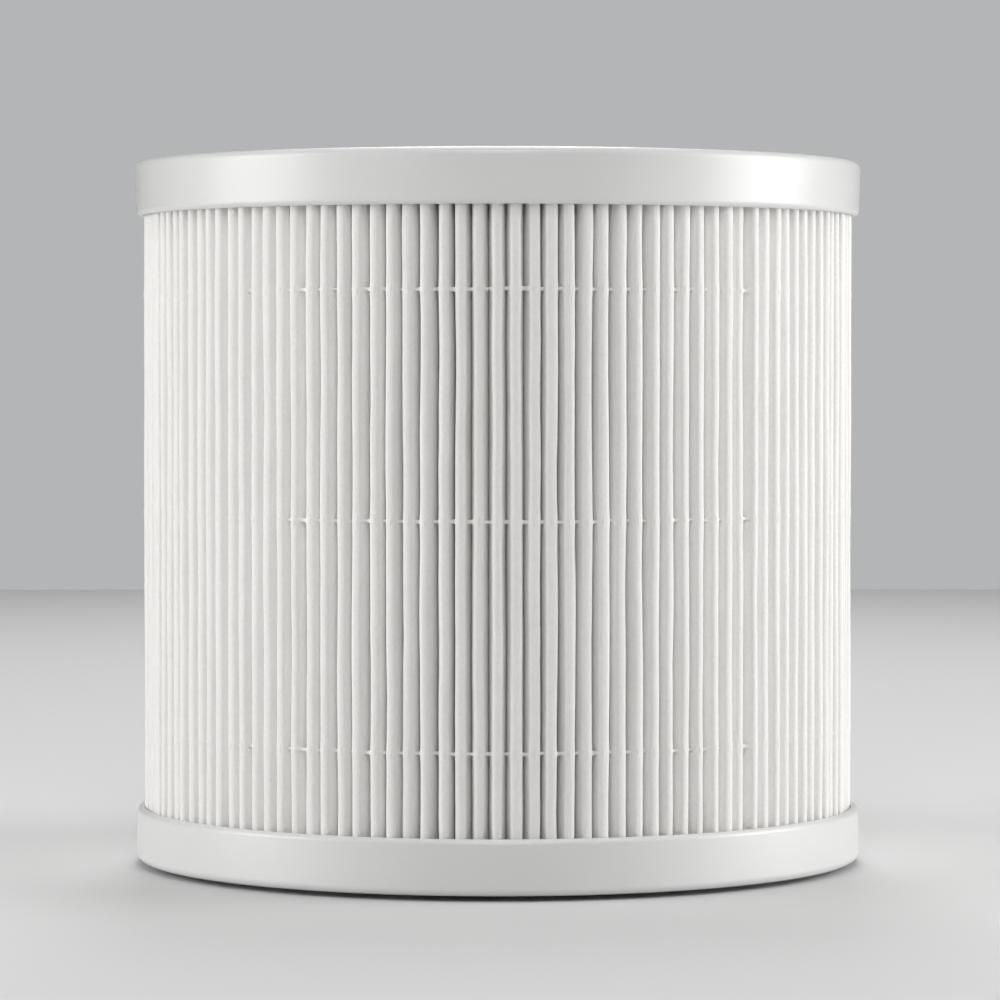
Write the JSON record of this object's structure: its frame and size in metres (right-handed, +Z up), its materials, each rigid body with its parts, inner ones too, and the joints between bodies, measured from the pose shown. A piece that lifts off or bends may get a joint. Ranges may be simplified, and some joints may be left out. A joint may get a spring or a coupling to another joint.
{
  "type": "air purifier filter cartridge",
  "caption": "Cylindrical pleated air filter cartridge: outward-facing pleats bridged by hot-melt glue rows, between two white ring-shaped end caps, round an open centre.",
  "frame": {"origin": "centre of the base, where the lower gasket meets the surface the cartridge stands on", "axes": "+Z up along the cartridge's axis, -Y the front, +X to the right seen from the front"},
  "size_m": [0.168, 0.168, 0.163],
  "materials": {
    "end_cap_white": "satin",
    "cage_white": "satin",
    "filter_media": "matte",
    "scrim_white": "matte",
    "hot_melt_glue": "satin",
    "potting_adhesive": "satin",
    "gasket_foam": "matte",
    "gasket_tape": "satin",
    "net_black": "satin",
    "activated_carbon": "matte"
  },
  "bodies": {
    "root": {"bottom_end_cap": "end_cap_white", "bottom_gasket": "gasket_foam", "bottom_gasket_tape": "gasket_tape", "bottom_potting": "potting_adhesive", "carbon_inner_net": "net_black", "carbon_outer_net": "net_black", "carbon_pellets": "activated_carbon", "centre_cage": "cage_white", "dust_scrim": "scrim_white", "inner_glue_bead_lower": "hot_melt_glue", "inner_glue_bead_middle": "hot_melt_glue", "inner_glue_bead_upper": "hot_melt_glue", "media_seam_glue": "hot_melt_glue", "outer_glue_bead_lower": "hot_melt_glue", "outer_glue_bead_middle": "hot_melt_glue", "outer_glue_bead_upper": "hot_melt_glue", "pleated_media": "filter_media", "top_end_cap": "end_cap_white", "top_gasket": "gasket_foam", "top_gasket_tape": "gasket_tape", "top_potting": "potting_adhesive"}
  },
  "joints": []
}
